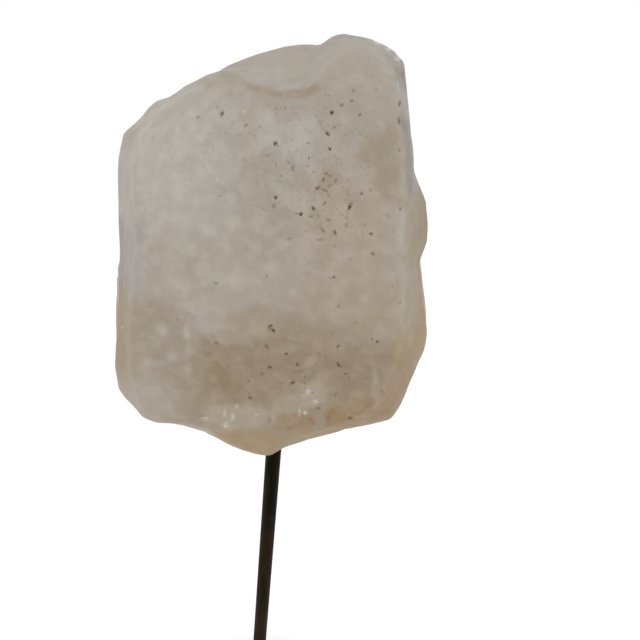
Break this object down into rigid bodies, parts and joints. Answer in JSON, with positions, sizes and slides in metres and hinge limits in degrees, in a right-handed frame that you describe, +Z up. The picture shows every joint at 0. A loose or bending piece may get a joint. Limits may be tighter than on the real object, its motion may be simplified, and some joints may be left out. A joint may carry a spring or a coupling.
{
  "type": "quartz crystal on a stand",
  "caption": "Rough block of milky quartz with worn fracture faces, held upright on a thin dark rod that stands in a round base plate.",
  "frame": {"origin": "centre of the base plate's underside, on the rod's axis", "axes": "+Z up along the rod, -Y towards the stone's broad face, +X to the viewer's right"},
  "size_m": [0.1192, 0.11, 0.3755],
  "materials": {
    "milky_quartz": "milky, faintly translucent, satin worn surface with small dark pits",
    "rod_bronze": "dark bronze, satin",
    "base_bronze": "dark bronze, satin"
  },
  "bodies": {
    "root": {"crystal": "milky_quartz", "rod": "rod_bronze", "base": "base_bronze"}
  },
  "joints": []
}
